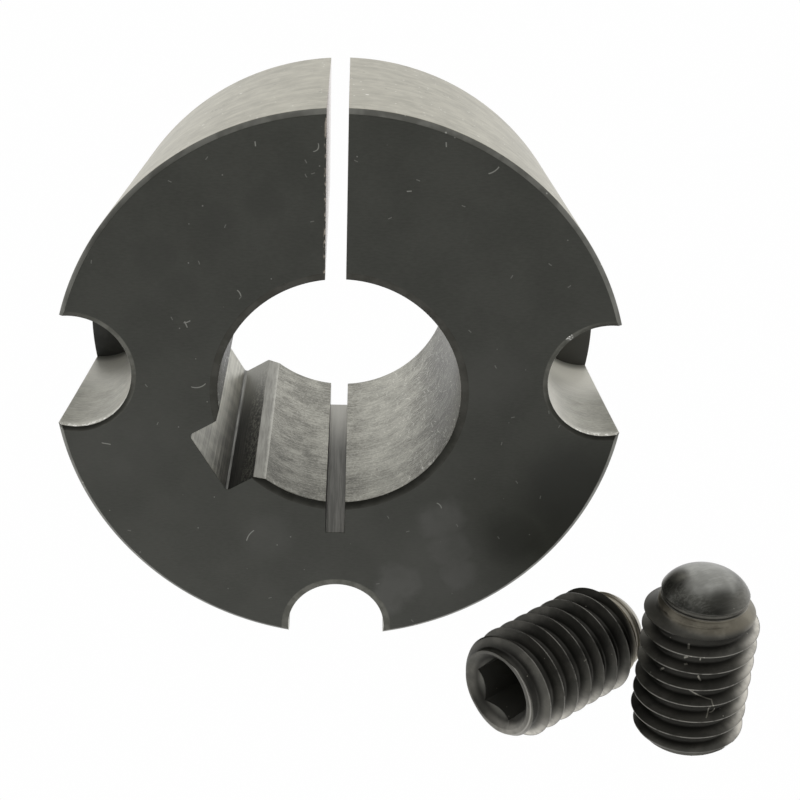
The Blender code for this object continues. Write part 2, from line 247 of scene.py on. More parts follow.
def choose(kind, test):
    """Selects the vertices, edges or faces of the mesh in edit mode that pass a test."""
    bpy.ops.mesh.select_mode(type=kind)
    bpy.ops.mesh.select_all(action="DESELECT")
    mesh = bpy.context.edit_object.data
    bm = bmesh.from_edit_mesh(mesh)
    for item in {"VERT": bm.verts, "EDGE": bm.edges, "FACE": bm.faces}[kind]:
        if test(item):
            item.select_set(True)
    bm.select_flush_mode()
    bmesh.update_edit_mesh(mesh)


def centred(item):
    """The middle of an edge."""
    return (item.verts[0].co + item.verts[1].co) / 2


def tidy_mesh():
    """Merges doubled points and points the faces outwards, in edit mode."""
    bpy.ops.mesh.select_mode(type="VERT")
    bpy.ops.mesh.select_all(action="SELECT")
    bpy.ops.mesh.remove_doubles(threshold=WELD)
    bpy.ops.mesh.normals_make_consistent(inside=False)


def turned(name, rings, steps, closed=False):
    """A round piece drawn ring by ring about Z, from (radius, height) pairs. A radius of 0 closes it."""
    only()
    radius, height = rings[0]
    bpy.ops.mesh.primitive_circle_add(vertices=steps, radius=radius)
    made = bpy.context.object
    made.name = name
    edit(True)
    bpy.ops.mesh.select_all(action="SELECT")
    bpy.ops.transform.translate(value=(0.0, 0.0, height))
    for next_radius, next_height in list(rings[1:]) + ([rings[0]] if closed else []):
        rise = (0.0, 0.0, next_height - height)
        bpy.ops.mesh.extrude_region_move(TRANSFORM_OT_translate={"value": rise})
        if next_radius:
            growth = next_radius / radius
            middle = (0.0, 0.0, next_height)
            bpy.ops.transform.resize(value=(growth, growth, 1.0), center_override=middle)
        else:
            bpy.ops.mesh.merge(type="CENTER")
        radius, height = next_radius, next_height
    if not closed:
        choose("EDGE", lambda edge: edge.is_boundary)
        bpy.ops.mesh.edge_face_add()
    tidy_mesh()
    edit(False)
    return made


def block(name, low, high):
    """A box between two corners."""
    only()
    bpy.ops.mesh.primitive_cube_add(size=1.0)
    made = bpy.context.object
    made.name = name
    low, high = Vector(low), Vector(high)
    made.scale = high - low
    made.location = (low + high) / 2
    bpy.ops.object.transform_apply(location=True, rotation=True, scale=True)
    return made


def prism(name, outline, low, high):
    """A flat outline of (x, y) points, extruded between two heights."""
    only()
    bpy.ops.mesh.primitive_circle_add(vertices=len(outline), radius=MM, fill_type="NGON")
    made = bpy.context.object
    made.name = name
    edit(True)
    mesh = made.data
    bm = bmesh.from_edit_mesh(mesh)
    bm.verts.ensure_lookup_table()
    for corner, (x, y) in zip(bm.verts, outline):
        corner.co = (x, y, low)
    bmesh.update_edit_mesh(mesh)
    bpy.ops.mesh.select_all(action="SELECT")
    bpy.ops.mesh.extrude_region_move(TRANSFORM_OT_translate={"value": (0.0, 0.0, high - low)})
    tidy_mesh()
    edit(False)
    return made


def use(thing, kind, name, **settings):
    """Adds a modifier and applies it."""
    only(thing)
    modifier = thing.modifiers.new(name, kind)
    for key, value in settings.items():
        setattr(modifier, key, value)
    bpy.ops.object.modifier_apply(modifier=name)


def combine(thing, tool, operation="DIFFERENCE"):
    """A Boolean with a tool, which is then removed. The faces that it leaves keep the tool's finish."""
    settings = {"operation": operation, "object": tool, "solver": "EXACT", "material_mode": "TRANSFER"}
    use(thing, "BOOLEAN", tool.name, **settings)
    bpy.data.objects.remove(tool, do_unlink=True)


def finish_with(thing, material):
    """Gives the whole of a piece one finish."""
    thing.data.materials.clear()
    thing.data.materials.append(material)
    return thing


def finish_where(thing, material, test):
    """Gives the faces that pass a test a finish of their own."""
    thing.data.materials.append(material)
    only(thing)
    edit(True)
    choose("FACE", test)
    thing.active_material_index = len(thing.data.materials) - 1
    bpy.ops.object.material_slot_assign()
    edit(False)


def put(thing, place):
    """Turns and moves a finished piece to its place and applies it. Its object stays at the origin."""
    only(thing)
    thing.matrix_world = place
    bpy.ops.object.transform_apply(location=True, rotation=True, scale=True)
    return thing


class Value:
    """A node's number output. Sums, products and comparisons of it add Math nodes."""

    def __init__(self, wiring, socket):
        self.wiring = wiring
        self.socket = socket

    def math(self, operation, *others):
        return self.wiring.math(operation, self, *others)

    def __add__(self, other):
        return self.math("ADD", other)

    def __sub__(self, other):
        return self.math("SUBTRACT", other)

    def __mul__(self, other):
        return self.math("MULTIPLY", other)

    def __truediv__(self, other):
        return self.math("DIVIDE", other)

    def __rsub__(self, other):
        return self.wiring.math("SUBTRACT", other, self)

    def __abs__(self):
        return self.math("ABSOLUTE")

    def __pow__(self, other):
        return self.math("POWER", other)


class Wiring:
    """The nodes of one material or of the studio's surroundings."""

    def __init__(self, tree):
        self.tree = tree
        self.nodes = tree.nodes
        self.nodes.clear()

    def node(self, kind, settings=None, inputs=None, output=0):
        """Adds a node: its type, its settings, its inputs' values or links, and the output wanted."""
        made = self.nodes.new(kind)
        for name, value in (settings or {}).items():
            if name == "stops":
                self.set_stops(made.color_ramp, value)
            else:
                setattr(made, name, value)
        for name, value in (inputs or {}).items():
            self.plug(made.inputs[name], value)
        return Value(self, made.outputs[output]) if made.outputs else None

    def set_stops(self, ramp, stops):
        while len(ramp.elements) < len(stops):
            ramp.elements.new(1.0)
        for element, (position, colour) in zip(ramp.elements, stops):
            element.position = position
            element.color = (*colour, 1.0)

    def plug(self, socket, value):
        if isinstance(value, Value):
            self.tree.links.new(value.socket, socket)
        elif socket.type == "RGBA" and len(value) == 3:
            socket.default_value = (*value, 1.0)
        else:
            socket.default_value = value

    def math(self, operation, *values):
        return self.node("ShaderNodeMath", {"operation": operation}, dict(enumerate(values)))

    def blend(self, mask, first, second):
        """One colour where the mask is 0 and another where it is 1."""
        inputs = {"Factor": mask, 6: first, 7: second}
        return self.node("ShaderNodeMix", {"data_type": "RGBA"}, inputs, output=2)

    def step(self, value, low, high, first=0.0, second=1.0):
        """Rises smoothly from one number to another as a value passes from low to high."""
        settings = {"interpolation_type": "SMOOTHSTEP"}
        inputs = {"Value": value, "From Min": low, "From Max": high, "To Min": first, "To Max": second}
        return self.node("ShaderNodeMapRange", settings, inputs)

    def noise(self, place, scale, detail=2.0, roughness=0.5):
        inputs = {"Vector": place, "Scale": scale, "Detail": detail, "Roughness": roughness}
        return self.node("ShaderNodeTexNoise", None, inputs)

    def parts(self, place):
        """The three numbers of a place."""
        split = self.nodes.new("ShaderNodeSeparateXYZ")
        self.plug(split.inputs[0], place)
        return [Value(self, output) for output in split.outputs]

    def join(self, x, y, z):
        return self.node("ShaderNodeCombineXYZ", None, {0: x, 1: y, 2: z})

    def stretched(self, place, factors):
        """A place with each of its axes scaled, so that a pattern on it is drawn out."""
        return self.node("ShaderNodeMapping", None, {"Vector": place, "Scale": factors})

    def streaks(self, place, factors, low=0.35, high=0.65, detail=3.0):
        """Drawn-out noise, spread to run from 0 to 1."""
        return self.step(self.noise(self.stretched(place, factors), 1.0, detail, 0.6), low, high)

    def patches(self, place, size, low=0.4, high=0.6):
        """Cloudy patches of about a size in millimetres, from 0 to 1."""
        return self.step(self.noise(place, 1.0 / size, 3.0, 0.55), low, high)

    def cells(self, place, spacing, dimensions="3D"):
        """Scattered points: how far the nearest is, three random numbers of its own and where it is."""
        made = self.nodes.new("ShaderNodeTexVoronoi")
        made.voronoi_dimensions = dimensions
        self.plug(made.inputs["Vector"], place)
        self.plug(made.inputs["Scale"], 1.0 / spacing)
        outputs = [made.outputs[name] for name in ("Distance", "Color", "Position")]
        away, luck, centre = [Value(self, output) for output in outputs]
        return away * spacing, self.parts(luck), self.parts(centre)

    def specks(self, place, spacing, size, share):
        """Round specks, in a share of the cells: 1 on a speck and 0 beside it."""
        away, luck, _ = self.cells(place, spacing)
        return self.step(away, size * 0.5, size, 1.0, 0.0) * self.chosen(luck[0], share)

    def chosen(self, luck, share):
        """1 for a share of the random numbers and 0 for the rest."""
        return self.step(luck, 1.0 - share, 1.001 - share)

    def strand(self, x, y, turn, bend, length, width):
        """A short curved line through x = 0, y = 0: 1 on it and 0 beside it."""
        cosine, sine = self.math("COSINE", turn), self.math("SINE", turn)
        along = x * cosine + y * sine
        across = y * cosine - x * sine
        off = abs(across - along * along * bend)
        near_line = self.step(off, width * 0.25, width * 0.75, 1.0, 0.0)
        return near_line * self.step(abs(along), length * 0.45, length * 0.5, 1.0, 0.0)

    def fibres(self, x, y, spacing, length, width, share, curl=2.0):
        """Scattered fibres of lint or fine scratches, each turned and bent its own way."""
        _, luck, centre = self.cells(self.join(x, y, 0.0), spacing, "2D")
        turn, bend, chance = luck
        from_middle = (x - centre[0], y - centre[1])
        made = self.strand(*from_middle, turn * 6.3, (bend - 0.5) * curl, length, width)
        return made * self.chosen(chance, share)

    def hair(self, x, y, middle, length, turn, bend=0.0, width=0.09):
        """One fibre at a place, from its middle, length, direction and bend."""
        return self.strand(x - middle[0], y - middle[1], radians(turn), bend, length, width)

    def spot(self, x, y, middle, radius, softness=0.7):
        """A soft round spot: 1 in its middle and 0 past its radius."""
        across, up = x - middle[0], y - middle[1]
        away = (across * across + up * up) ** 0.5
        return self.step(away, radius * (1.0 - softness), radius, 1.0, 0.0)

    def spots(self, x, y, marks):
        """Soft round spots, from the middle, radius and strength of each."""
        made = [self.spot(x, y, middle, radius) * strength for middle, radius, strength in marks]
        return self.most(*made)

    def hairs(self, x, y, marks):
        """Fibres at their places."""
        return self.most(*[self.hair(x, y, *mark) for mark in marks])

    def most(self, *masks):
        """The largest of several masks."""
        made = masks[0]
        for mask in masks[1:]:
            made = self.math("MAXIMUM", made, mask)
        return made

    def facing_up(self):
        """How far the surface faces up, from -1 to 1."""
        return self.parts(self.node("ShaderNodeTexCoord", output="Normal"))[2]

    def own_place(self, matrix):
        """Object coordinates turned into a piece's own frame, in millimetres."""
        here = self.node("ShaderNodeTexCoord", output="Object")
        turn = matrix.to_euler()
        inputs = {"Vector": here, "Location": matrix.translation, "Rotation": turn, "Scale": (MM, MM, MM)}
        return self.node("ShaderNodeMapping", {"vector_type": "TEXTURE"}, inputs)


def steel(name, matrix, draw, *more):
    """A material. draw(wiring, place) gives its colour, metallic, roughness and bumps in millimetres."""
    made = bpy.data.materials.new(name)
    made.use_nodes = True
    wiring = Wiring(made.node_tree)
    looks = draw(wiring, wiring.own_place(matrix), *more)
    inputs = {"Base Color": looks["colour"], "Metallic": looks["metallic"], "Roughness": looks["roughness"]}
    if "bump" in looks:
        bump_inputs = {"Height": looks["bump"], "Distance": MM, "Strength": 1.0}
        inputs["Normal"] = wiring.node("ShaderNodeBump", None, bump_inputs)
    shader = wiring.node("ShaderNodeBsdfPrincipled", None, inputs)
    wiring.node("ShaderNodeOutputMaterial", None, {"Surface": shader})
    return made


BUSH_PLACE = Matrix.Translation(FACE_CENTRE) @ Matrix.Rotation(pi / 2 - LEAN, 4, "X")
UPRIGHT_MATRIX = Matrix.Translation(UPRIGHT_PLACE) @ Matrix.Rotation(UPRIGHT_SPIN, 4, "Z")


def lying_matrix():
    """The lying screw's place: on its crests, beside the upright screw."""
    along = Vector((cos(LYING_DIRECTION), sin(LYING_DIRECTION), 0.0))
    away = Vector((-along.y, along.x, 0.0))
    aside = CREST + sqrt(CREST**2 - (LYING_PAST_UPRIGHT - CONE_FOOT) ** 2) + SCREW_GAP
    place = UPRIGHT_PLACE - along * LYING_PAST_UPRIGHT + away * aside
    place.z = CREST
    turn = Matrix.Rotation(LYING_DIRECTION, 4, "Z") @ Matrix.Rotation(pi / 2, 4, "Y")
    return Matrix.Translation(place) @ turn @ Matrix.Rotation(LYING_SPIN, 4, "Z")


LYING_MATRIX = lying_matrix()


def handling_marks(w, p, colour):
    """Adds greasy finger smudges and dark stains, with wandering outlines, to the large end's colour."""
    x, y, _ = w.parts(p)
    wander = w.noise(p, 0.45, 3.0, 0.6)
    other_wander = w.noise(w.stretched(p, (-0.45, 0.45, 0.45)), 1.0, 3.0, 0.6)
    mark_x = x + (wander - 0.5) * MARK_WANDER
    mark_y = y + (other_wander - 0.5) * MARK_WANDER
    fingers = [w.spot(mark_x, mark_y, *mark) for mark in FINGER_SMUDGES]
    smudges = w.most(*fingers, w.spots(x, y, PALE_PATCHES))
    cloudy = w.step(wander, 0.3, 0.6, 0.7, 1.0)
    colour = w.blend(smudges * cloudy * 0.9, colour, (0.076, 0.076, 0.066))
    return w.blend(w.spots(mark_x, mark_y, DARK_STAINS) * 0.55, colour, (0.012, 0.013, 0.007))


def crumbs_at_split(w, p):
    """A mask of crumbs of rust beside the split's left edge."""
    x, y, _ = w.parts(p)
    edge = (SPLIT_OFFSET - SPLIT_WIDTH / 2) / MM
    crumbs = w.step(w.noise(w.stretched(p, (4.0, 1.6, 4.0)), 1.0, 4.0, 0.7), 0.5, 0.6)
    beside_split = w.step(x, edge - 0.22, edge - 0.05) * w.step(x, 0.01, 0.0)
    above_bore = w.step(y, 9.0, 9.01)
    return crumbs * beside_split * above_bore


def face_finish(w, p):
    """Black phosphate: matt, faintly cloudy, with a few handling marks, specks of dust and short hairs."""
    x, y, _ = w.parts(p)
    cloud = w.patches(p, 6.0, 0.35, 0.65)
    grain = w.streaks(p, (2.0, 7.0, 7.0), 0.3, 0.7)
    tone = cloud * 0.35 + grain * 0.3 + w.step(y, 12.0, -20.0, 0.0, 0.35)
    colour = w.blend(tone, (0.0205, 0.0220, 0.0140), (0.047, 0.0485, 0.0375))
    colour = handling_marks(w, p, colour)
    dust = w.most(w.specks(p, 1.3, 0.08, 0.45), w.fibres(x, y, 2.4, 0.32, 0.075, 0.2) * 0.7)
    lint = w.most(dust * 0.7, w.hairs(x, y, FACE_HAIRS))
    colour = w.blend(lint * 0.55, colour, (0.40, 0.40, 0.36))
    colour = w.blend(crumbs_at_split(w, p) * 0.8, colour, (0.50, 0.44, 0.36))
    height = w.noise(p, 7.0, 3.0, 0.6) * 0.004 + lint * 0.008
    return {"colour": colour, "metallic": 0.0, "roughness": 0.5, "bump": height}


def taper_finish(w, p):
    """Fine-turned and rubbed: faint rings, some dull patches, pits and bright specks."""
    x, y, z = w.parts(p)
    rings = w.streaks(p, (0.12, 0.12, 3.0))
    fine = w.streaks(p, (0.5, 0.5, 14.0))
    lower = w.step(y, 23.0, 16.0, 0.05, 0.28)
    mottle = w.step(w.noise(p, 0.8, 4.0, 0.55), 0.36, 0.64)
    tone = (rings * 0.35 + fine * 0.12 + w.patches(p, 3.0) * 0.3 + lower) * 0.7 + mottle * 0.3
    colour = w.blend(tone, (0.25, 0.234, 0.170), (0.49, 0.466, 0.370))
    rusty = w.spot(x, z, *TAPER_RUST) * w.step(w.noise(p, 3.5, 3.0, 0.7), 0.52, 0.6)
    pits = w.most(w.specks(p, 1.8, 0.14, 0.35), w.specks(p, 0.7, 0.06, 0.2) * 0.6, rusty * 0.9)
    nicks = w.most(w.specks(p, 0.9, 0.1, 0.5), w.specks(p, 2.2, 0.2, 0.45))
    colour = w.blend(pits * 0.75, colour, (0.09, 0.075, 0.05))
    colour = w.blend(nicks * 0.75, colour, (0.95, 0.94, 0.88))
    height = fine * 0.001 + rings * 0.003 - pits * 0.01
    return {"colour": colour, "metallic": 1.0, "roughness": 0.34, "bump": height}


def scored_round(w, p):
    """A mask of fine scratches that run round the bore."""
    x, y, z = w.parts(p)
    arc = w.math("ARCTAN2", y, x) * (BORE_RADIUS / MM)
    return w.most(
        w.fibres(arc, z * 1.8, 1.1, 1.1, 0.07, 0.75, 0.3),
        w.fibres(arc + 5.0, z * 1.5, 1.7, 1.7, 0.06, 0.7, 0.2),
        w.fibres(arc + 9.0, z * 2.6, 0.8, 0.8, 0.07, 0.6, 0.3),
    )


def bore_finish(w, p):
    """Bored, phosphated and rubbed: scratched round, blotched, darker with painted shade towards the large
    end, with flecks.
    """
    x, _, z = w.parts(p)
    scratches = w.streaks(p, (0.5, 0.5, 5.0), 0.42, 0.6, 8.0)
    grain = w.streaks(p, (4.5, 4.5, 4.5), 0.4, 0.62, 5.0)
    tone = scratches * 0.34 + grain * 0.34 + w.patches(p, 2.2) * 0.32
    near = w.step(z, -17.0, -1.0)
    sliver = w.step(x, -8.9, -9.7)
    colour = w.blend(tone, (0.165, 0.16, 0.135), (0.49, 0.48, 0.42))
    # Painted shade towards the large end: a darker copy of the tone, mixed in by how near the large end it
    # is.
    painted_shade_tone = w.blend(tone, (0.03, 0.03, 0.026), (0.34, 0.338, 0.30))
    colour = w.blend(near * 0.3, colour, painted_shade_tone)
    # More painted shade on the left towards the large end; the right side and the sliver are dull.
    painted_shade_left = w.step(x, -1.0, -4.0) * near * 0.22
    dull = w.most(w.step(x, 6.0, 9.2) * 0.55, sliver * 0.97, painted_shade_left)
    colour = w.blend(dull, colour, (0.07, 0.069, 0.06))
    rubbed = w.step(x, 1.0, 3.0) * w.step(x, 5.0, 7.5, 1.0, 0.0)
    colour = w.blend(rubbed * 0.16, colour, (0.80, 0.79, 0.70))
    scored = scored_round(w, p)
    colour = w.blend(scored * w.step(x, 2.0, 8.0, 0.12, 0.5), colour, (0.92, 0.91, 0.84))
    flecks = w.step(w.noise(w.stretched(p, (3.2, 3.2, 1.1)), 1.0, 5.0, 0.75), 0.56, 0.66)
    edge = w.step(z, -7.0, -0.6) * w.step(x, 3.0, 9.8) + sliver + w.step(z, -1.6, -0.4) * 0.5
    colour = w.blend(flecks * edge * 0.85, colour, (0.95, 0.94, 0.88))
    metallic = 1.0 - w.most(w.step(x, 7.5, 9.6) * 0.45, sliver * 0.6)
    height = scratches * 0.004 + scored * 0.01
    return {"colour": colour, "metallic": metallic, "roughness": 0.4, "bump": height}


def rim_finish(w, p):
    """The chamfer round the taper: grey, with a few worn specks."""
    colour = w.blend(w.patches(p, 2.5), (0.135, 0.135, 0.12), (0.20, 0.20, 0.18))
    colour = w.blend(w.specks(p, 0.8, 0.1, 0.3) * 0.6, colour, (0.6, 0.6, 0.55))
    return {"colour": colour, "metallic": 1.0, "roughness": 0.45, "bump": w.noise(p, 6.0) * 0.004}


def chamfer_finish(w, p):
    """The shallow chamfers of bore and notches: rubbed grey facing down, with painted shade making them
    black facing up.
    """
    x, y, z = w.parts(p)
    at_sides = w.step(abs(x), 12.0, 14.0) * w.step(abs(x), 19.0, 21.5, 1.0, 0.25)
    at_notches = w.most(at_sides, w.step(y, -14.0, -16.0))
    rubbed = w.blend(w.patches(p, 1.5), (0.054, 0.053, 0.046), (0.068, 0.067, 0.059))
    rubbed_more = w.blend(w.patches(p, 1.0), (0.10, 0.10, 0.087), (0.135, 0.134, 0.118))
    rubbed = w.blend(at_notches, rubbed, rubbed_more)
    # Painted shade for the chamfers that face up: black, a little paler at the notches.
    black = w.blend(w.patches(p, 1.5), (0.034, 0.034, 0.029), (0.044, 0.044, 0.038))
    black = w.blend(at_notches * 0.8, black, (0.058, 0.058, 0.050))
    # Painted shade by facing: black where the chamfers face up, rubbed grey where they face down.
    colour = w.blend(w.step(w.facing_up(), -0.02, 0.2), rubbed, black)
    nicks = w.step(w.noise(p, 5.0, 4.0, 0.7), 0.62, 0.68)
    colour = w.blend(nicks * w.step(z, -0.12, -0.18) * 0.4, colour, (0.35, 0.35, 0.31))
    burr = w.most(*[w.spot(x, y, *mark) for mark in NOTCH_BURRS])
    ragged = w.step(w.noise(p, 6.0, 3.0, 0.7), 0.45, 0.55)
    colour = w.blend(burr * ragged, colour, (0.95, 0.95, 0.9))
    return {"colour": colour, "metallic": 1.0, "roughness": 0.45, "bump": nicks * 0.01}


def sawn_finish(w, p):
    """Saw marks along the cut, with a little rust and dust in the split."""
    _, y, z = w.parts(p)
    marks = w.streaks(p, (5.0, 5.0, 0.12), 0.3, 0.7)
    colour = w.blend(marks, (0.070, 0.069, 0.061), (0.135, 0.132, 0.119))
    colour = w.blend(w.step(z, -14.0, -25.0) * 0.75, colour, (0.42, 0.41, 0.37))
    near = w.step(z, -16.0, -4.0)
    rusty = w.blend(marks, (0.28, 0.21, 0.18), (0.56, 0.47, 0.43))
    dusty = w.blend(near, (0.76, 0.71, 0.68), rusty)
    split = w.step(y, 8.0, 9.5)
    colour = w.blend(split, colour, dusty)
    roughness = 0.3 - split * 0.1
    metallic = 1.0 - split * near * 0.75
    return {"colour": colour, "metallic": metallic, "roughness": roughness, "bump": marks * 0.004}


def broached_finish(w, p):
    """The keyway's floor: drawn along by the broach."""
    z = w.parts(p)[2]
    marks = w.streaks(p, (5.0, 5.0, 0.05))
    tone = marks * 0.35 + w.patches(p, 2.0) * 0.3 + w.step(z, -3.0, -24.0, 0.0, 0.35)
    colour = w.blend(tone, (0.225, 0.221, 0.196), (0.56, 0.55, 0.48))
    nicks = w.specks(p, 0.6, 0.07, 0.35) * w.step(z, -2.5, -0.2)
    colour = w.blend(nicks * 0.8, colour, (0.9, 0.9, 0.85))
    return {"colour": colour, "metallic": 1.0, "roughness": 0.36, "bump": marks * 0.006}


def key_corner_finish(w, p):
    """The rounded corners of the keyway's floor: a thin rubbed line."""
    marks = w.streaks(p, (5.0, 5.0, 0.3))
    colour = w.blend(marks, (0.10, 0.099, 0.09), (0.22, 0.218, 0.2))
    return {"colour": colour, "metallic": 1.0, "roughness": 0.4}


def key_wall_finish(w, p):
    """The keyway's side walls: black, scored along, and rubbed a little at the small end."""
    x, y, z = w.parts(p)
    from_axis = x * cos(KEYWAY_DIRECTION) + y * sin(KEYWAY_DIRECTION)
    marks = w.streaks(p, (7.0, 7.0, 0.08), 0.45, 0.7)
    chatter = w.step(w.noise(w.stretched(p, (5.0, 5.0, 1.6)), 1.0, 4.0, 0.75), 0.46, 0.62)
    at_bore = w.step(from_axis, 12.0, 10.3)
    tone = marks * 0.2 + chatter * at_bore * 1.3 + at_bore * 0.08
    colour = w.blend(tone, (0.014, 0.014, 0.012), (0.22, 0.217, 0.19))
    colour = w.blend(w.step(z, -12.0, -26.0) * 0.85, colour, (0.30, 0.295, 0.26))
    return {"colour": colour, "metallic": 1.0, "roughness": 0.45, "bump": marks * 0.01}


def key_edge_finish(w, p):
    """The broken edges of the keyway: rubbed bright where they meet the bore."""
    x, y, _ = w.parts(p)
    radius = (x * x + y * y) ** 0.5
    marks = w.streaks(p, (3.0, 3.0, 0.3))
    colour = w.blend(marks, (0.24, 0.235, 0.21), (0.34, 0.335, 0.30))
    ragged = radius + w.noise(w.stretched(p, (3.0, 3.0, 1.5)), 1.0, 3.0, 0.7) * 0.16
    bore = BORE_RADIUS / MM
    colour = w.blend(w.step(ragged, bore + 0.05, bore + 0.2, 1.0, 0.0) * 0.6, colour, (0.75, 0.74, 0.67))
    return {"colour": colour, "metallic": 1.0, "roughness": 0.4, "bump": marks * 0.006}


def notch_finish(w, p):
    """The notches' drilled walls: fine rings, blotched, painted light on the right notch's upper wall and
    deep in, painted shade at the far end, rubbed at the face.
    """
    x, y, z = w.parts(p)
    rings = w.streaks(p, (0.6, 0.6, 6.0), 0.4, 0.6, 4.0)
    tone = rings * 0.35 + w.patches(p, 1.6) * 0.3 + w.streaks(p, (3.0, 3.0, 7.0)) * 0.35
    colour = w.blend(tone, (0.27, 0.262, 0.222), (0.50, 0.487, 0.418))
    colour = w.blend(w.step(y, 0.0, -4.5, 0.0, 0.55), colour, (0.20, 0.20, 0.175))
    right = w.step(x, 0.0, 1.0)
    lit = right * w.step(y, -3.2, -0.4)
    end = -NOTCH_DEPTH / MM
    # Painted light deep in the notches: paler and less metallic towards the far end.
    painted_light_deep_in = w.step(z, end + 9.0, end + 2.5)
    colour = w.blend(lit * 0.6, colour, (0.92, 0.90, 0.82))
    colour = w.blend(painted_light_deep_in * (right * 0.45 + 0.45), colour, (0.97, 0.95, 0.86))
    # Painted shade: a dark band on the wall right next to the black shoulder.
    colour = w.blend(w.step(z, end + 1.6, end + 0.1) * 0.75, colour, (0.13, 0.13, 0.11))
    colour = w.blend(w.step(z, -1.3, -0.2, 0.0, 0.5), colour, (0.65, 0.64, 0.57))
    speckled = w.step(w.noise(w.stretched(p, (2.5, 2.5, 2.5)), 1.0, 4.0, 0.7), 0.5, 0.6)
    colour = w.blend(speckled * w.step(z, -0.9, -0.2) * 0.8, colour, (0.98, 0.97, 0.92))
    metallic = 1.0 - w.most(painted_light_deep_in * (right * 0.4 + 0.5), lit * 0.85)
    return {"colour": colour, "metallic": metallic, "roughness": 0.37, "bump": rings * 0.005}


def shoulder_finish(w, p):
    """The notches' flat ends: black."""
    x = w.parts(p)[0]
    colour = w.blend(w.patches(p, 2.0), (0.018, 0.0185, 0.0145), (0.032, 0.0325, 0.027))
    colour = w.blend(w.step(x, -1.0, 1.0) * 0.8, colour, (0.05, 0.0495, 0.041))
    return {"colour": colour, "metallic": 0.0, "roughness": 0.6, "bump": w.noise(p, 5.0) * 0.004}


def oxide_colour(w, p, radius, side, fine):
    """A set screw's body: blackest in its roots and socket, rubbed on one side and on its crests, with a
    painted highlight round its end face.
    """
    z = w.parts(p)[2]
    crest, mouth, cone_foot = CREST / MM, SOCKET_MOUTH / MM, CONE_FOOT / MM
    end_ring = crest - END_CHAMFER[0] / MM
    colour = w.blend(w.patches(p, 1.6), (0.085, 0.083, 0.073), (0.118, 0.114, 0.10))
    colour = w.blend(w.step(fine, 0.6, 0.8) * 0.3, colour, (0.16, 0.155, 0.135))
    rubbed = w.step(side, 0.5, 0.98) * w.step(w.noise(p, 1.2, 3.0, 0.6), 0.3, 0.6, 0.6, 1.0)
    rubbed = rubbed * w.step(radius, crest - 0.7, crest - 0.2, 0.3, 1.0)
    colour = w.blend(rubbed, colour, (0.72, 0.69, 0.62))
    on_thread = w.step(z, cone_foot, cone_foot + 0.1, 1.0, 0.0) * w.step(z, 0.2, 0.6)
    roots = on_thread * w.step(radius, crest - 0.4, crest - 0.95)
    colour = w.blend(roots * 0.72, colour, (0.019, 0.0185, 0.016))
    inside = w.step(radius, mouth - 0.15, mouth - 0.45) * w.step(z, 0.5, 0.9) * w.step(z, 9.0, 8.9)
    colour = w.blend(inside, colour, (0.14, 0.138, 0.122))
    worn = w.step(radius, crest - 0.1, crest - 0.03) * w.step(w.noise(p, 1.6, 2.0), 0.3, 0.5)
    # Painted highlight: a thin pale line round the edge of the end face; the crests' pale tops are worn.
    off_ring = abs(radius - end_ring)
    end_edge_highlight = w.step(off_ring, 0.09, 0.03) * w.step(z, 0.1, 0.05)
    return w.blend(w.most(worn * 0.5, end_edge_highlight * 0.8), colour, (0.34, 0.33, 0.30))


def cone_colour(w, p, side, colour):
    """Adds the browner cone of the shoulder, and the dark band under it, to a set screw's colour."""
    z = w.parts(p)[2]
    foot, neck = CONE_FOOT / MM, NECK_FOOT / MM
    cone = w.step(z, foot + 0.2, foot + 0.55) * w.step(z, neck + 0.15, neck + 0.35, 1.0, 0.0)
    brown = w.blend(w.patches(p, 1.6), (0.135, 0.122, 0.094), (0.21, 0.192, 0.15))
    brown = w.blend(w.step(side, -0.2, 0.9) * 0.35, brown, (0.36, 0.33, 0.26))
    colour = w.blend(cone * 0.9, colour, brown)
    under = w.step(z, foot - 0.25, foot - 0.05) * w.step(z, foot + 0.15, foot + 0.35, 1.0, 0.0)
    return w.blend(under * 0.65, colour, (0.045, 0.043, 0.036))


def dome_colour(w, p, side, across, up):
    """A set screw's dome: polished at its crown, scuffed, with a painted reflection paling its lip and
    painted dark reflections in front.
    """
    z = w.parts(p)[2]
    foot, tip = EDGE_FOOT / MM, SCREW_LENGTH / MM
    crown = w.step(z + w.noise(p, 0.9, 2.0) * 0.6, tip - 0.7, tip + 0.15)
    colour = w.blend(crown, (0.062, 0.0615, 0.053), (0.36, 0.36, 0.335))
    colour = w.blend(w.patches(p, 1.4) * 0.3, colour, (0.15, 0.15, 0.135))
    scuffs = w.streaks(p, (0.6, 6.0, 6.0), 0.45, 0.6, 4.0)
    colour = w.blend(scuffs * 0.3, colour, (0.22, 0.22, 0.20))
    # Painted reflection of the floor: a paler band on the lip.
    colour = w.blend(w.step(z, foot + 0.3, foot + 0.1) * 0.45, colour, (0.24, 0.235, 0.21))
    # Painted dark reflections on the front of the dome.
    colour = w.blend(w.spots(across, up, DOME_PAINTED_REFLECTIONS), colour, (0.04, 0.0395, 0.034))
    pale_side = w.step(side, 0.1, 0.9) * w.step(z, tip - 0.6, tip - 1.2)
    return w.blend(pale_side * 0.4, colour, (0.26, 0.25, 0.22))


